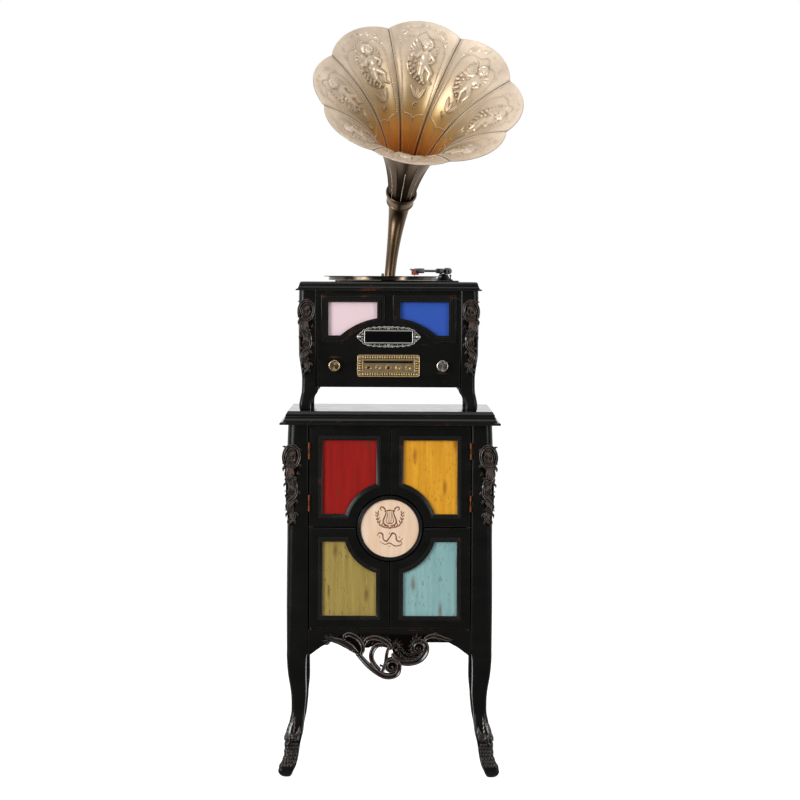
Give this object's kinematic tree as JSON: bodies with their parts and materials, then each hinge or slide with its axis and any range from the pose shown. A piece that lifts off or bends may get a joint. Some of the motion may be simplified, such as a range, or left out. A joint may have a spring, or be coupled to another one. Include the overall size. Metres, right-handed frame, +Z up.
{
  "type": "gramophone",
  "caption": "Retro gramophone cabinet: a turntable, radio and disc unit with a fluted flower horn stands on a four-door cabinet with curved legs.",
  "frame": {"origin": "on the floor, under the middle of the whole object's bounding box", "axes": "+Z up; the cabinet's front faces -Y; +X is the right-hand side seen from the front"},
  "size_m": [0.6132, 0.5148, 1.9239],
  "materials": {
    "black_lacquer": "black lacquer, rubbed to red-brown on its edges",
    "inner_wood": "dark stained board",
    "carved_wood": "dark carved and waxed",
    "red_panel": "crackled red paint",
    "yellow_panel": "crackled yellow paint",
    "olive_panel": "crackled olive paint",
    "turquoise_panel": "crackled turquoise paint",
    "pale_wood": "pale maple, waxed",
    "copper": "aged copper colour",
    "pink_cloth": "pale pink grille cloth",
    "blue_cloth": "blue grille cloth",
    "speaker_black": "black cone and steel basket",
    "silver": "antique silver",
    "dark_glass": "near-black window",
    "brass": "antique brass",
    "steel": "plain steel",
    "circuit_board": "green circuit board",
    "black_plastic": "black satin",
    "vinyl": "grooved black",
    "platter_metal": "bronze-toned",
    "belt_rubber": "black rubber",
    "red_plastic": "red",
    "bronze": "dark patinated bronze",
    "horn_brass": "champagne lacquer over embossed brass, amber in the throat"
  },
  "bodies": {
    "cabinet_and_unit": {"cabinet_top": "black_lacquer", "cabinet_legs": "black_lacquer", "cabinet_sides": "black_lacquer", "cabinet_back": "inner_wood", "cabinet_floor": "inner_wood", "cabinet_shelf": "inner_wood", "cabinet_rails": "black_lacquer", "cabinet_apron": "black_lacquer", "apron_carving": "carved_wood", "post_carvings": "carved_wood", "medallion_ring": "black_lacquer", "medallion_disc": "pale_wood", "door_hinges": "copper", "unit_top": "black_lacquer", "unit_legs": "black_lacquer", "unit_sides": "black_lacquer", "unit_back": "inner_wood", "unit_floor": "inner_wood", "unit_front": "black_lacquer", "grille_left": "pink_cloth", "grille_right": "blue_cloth", "speakers": "speaker_black", "display_escutcheon": "silver", "display_window": "dark_glass", "control_bezel": "brass", "cd_player": "steel", "control_board": "circuit_board", "amplifier": "circuit_board", "power_inlet": "black_plastic", "turntable_plate": "black_plastic", "motor": "steel", "belt": "belt_rubber", "tonearm_base": "black_plastic", "horn_socket": "bronze", "horn_driver": "steel"},
    "door_upper_left": {"door_upper_left": "black_lacquer", "panel_upper_left": "red_panel"},
    "door_upper_right": {"door_upper_right": "black_lacquer", "panel_upper_right": "yellow_panel"},
    "door_lower_left": {"door_lower_left": "black_lacquer", "panel_lower_left": "olive_panel"},
    "door_lower_right": {"door_lower_right": "black_lacquer", "panel_lower_right": "turquoise_panel"},
    "turntable": {"platter": "platter_metal", "record": "vinyl"},
    "pulley": {"motor_pulley": "brass"},
    "arm_yoke": {"tonearm_yoke": "black_plastic"},
    "arm": {"tonearm": "black_plastic", "cartridge": "red_plastic"},
    "lever": {"speed_lever": "black_plastic"},
    "knob_left": {"knob_left": "brass"},
    "knob_right": {"knob_right": "brass"},
    "horn": {"horn_elbow": "bronze", "horn_collar": "bronze", "horn_bell": "horn_brass"},
    "button_1": {"button_1": "brass"},
    "button_2": {"button_2": "brass"},
    "button_3": {"button_3": "brass"},
    "button_4": {"button_4": "brass"},
    "button_5": {"button_5": "brass"}
  },
  "joints": [
    {"name": "door_upper_left_hinge", "type": "hinge", "parent": "cabinet_and_unit", "child": "door_upper_left", "pos_m": [-0.23003, -0.12916, 0.693], "axis": [0, 0, -1], "range_deg": [0, 105]},
    {"name": "door_lower_left_hinge", "type": "hinge", "parent": "cabinet_and_unit", "child": "door_lower_left", "pos_m": [-0.22503, -0.12266, 0.375], "axis": [0, 0, -1], "range_deg": [0, 95]},
    {"name": "door_upper_right_hinge", "type": "hinge", "parent": "cabinet_and_unit", "child": "door_upper_right", "pos_m": [0.17697, -0.12916, 0.693], "axis": [0, 0, 1], "range_deg": [0, 105]},
    {"name": "door_lower_right_hinge", "type": "hinge", "parent": "cabinet_and_unit", "child": "door_lower_right", "pos_m": [0.17197, -0.12266, 0.375], "axis": [0, 0, 1], "range_deg": [0, 95]},
    {"name": "platter_spin", "type": "hinge", "parent": "cabinet_and_unit", "child": "turntable", "pos_m": [-0.04753, 0.03234, 1.2543], "axis": [0, 0, -1], "continuous": true},
    {"name": "pulley_spin", "type": "hinge", "parent": "cabinet_and_unit", "child": "pulley", "pos_m": [-0.14092, -0.03305, 1.2543], "axis": [0, 0, -1], "continuous": true},
    {"name": "tonearm_swing", "type": "hinge", "parent": "cabinet_and_unit", "child": "arm_yoke", "pos_m": [0.11107, 0.13534, 1.2535], "axis": [0, 0, 1], "range_deg": [-16.5, 20]},
    {"name": "tonearm_lift", "type": "hinge", "parent": "arm_yoke", "child": "arm", "pos_m": [0.11107, 0.13534, 1.2782], "axis": [-0.9219, 0.3875, 0], "range_deg": [0, 12]},
    {"name": "speed_lever_tilt", "type": "hinge", "parent": "cabinet_and_unit", "child": "lever", "pos_m": [0.12807, 0.09134, 1.2545], "axis": [1, 0, 0], "range_deg": [-20, 20]},
    {"name": "knob_left_turn", "type": "hinge", "parent": "cabinet_and_unit", "child": "knob_left", "pos_m": [-0.16733, -0.11266, 1.039], "axis": [0, 1, 0], "range_deg": [-150, 150]},
    {"name": "knob_right_turn", "type": "hinge", "parent": "cabinet_and_unit", "child": "knob_right", "pos_m": [0.10427, -0.11266, 1.039], "axis": [0, 1, 0], "range_deg": [-150, 150]},
    {"name": "button_1_push", "type": "slide", "parent": "cabinet_and_unit", "child": "button_1", "axis": [0, 1, 0], "range_m": [0, 0.0015], "stiffness_N_per_m": 300, "springref_m": -0.002},
    {"name": "button_2_push", "type": "slide", "parent": "cabinet_and_unit", "child": "button_2", "axis": [0, 1, 0], "range_m": [0, 0.0015], "stiffness_N_per_m": 300, "springref_m": -0.002},
    {"name": "button_3_push", "type": "slide", "parent": "cabinet_and_unit", "child": "button_3", "axis": [0, 1, 0], "range_m": [0, 0.0015], "stiffness_N_per_m": 300, "springref_m": -0.002},
    {"name": "button_4_push", "type": "slide", "parent": "cabinet_and_unit", "child": "button_4", "axis": [0, 1, 0], "range_m": [0, 0.0015], "stiffness_N_per_m": 300, "springref_m": -0.002},
    {"name": "button_5_push", "type": "slide", "parent": "cabinet_and_unit", "child": "button_5", "axis": [0, 1, 0], "range_m": [0, 0.0015], "stiffness_N_per_m": 300, "springref_m": -0.002},
    {"name": "horn_swivel", "type": "hinge", "parent": "cabinet_and_unit", "child": "horn", "pos_m": [-0.02953, 0.20234, 1.25], "axis": [0, 0, 1], "range_deg": [-30, 30]}
  ],
  "couplings": [
    {"joint": "pulley_spin", "follows": "platter_spin", "ratio": 15.333}
  ]
}
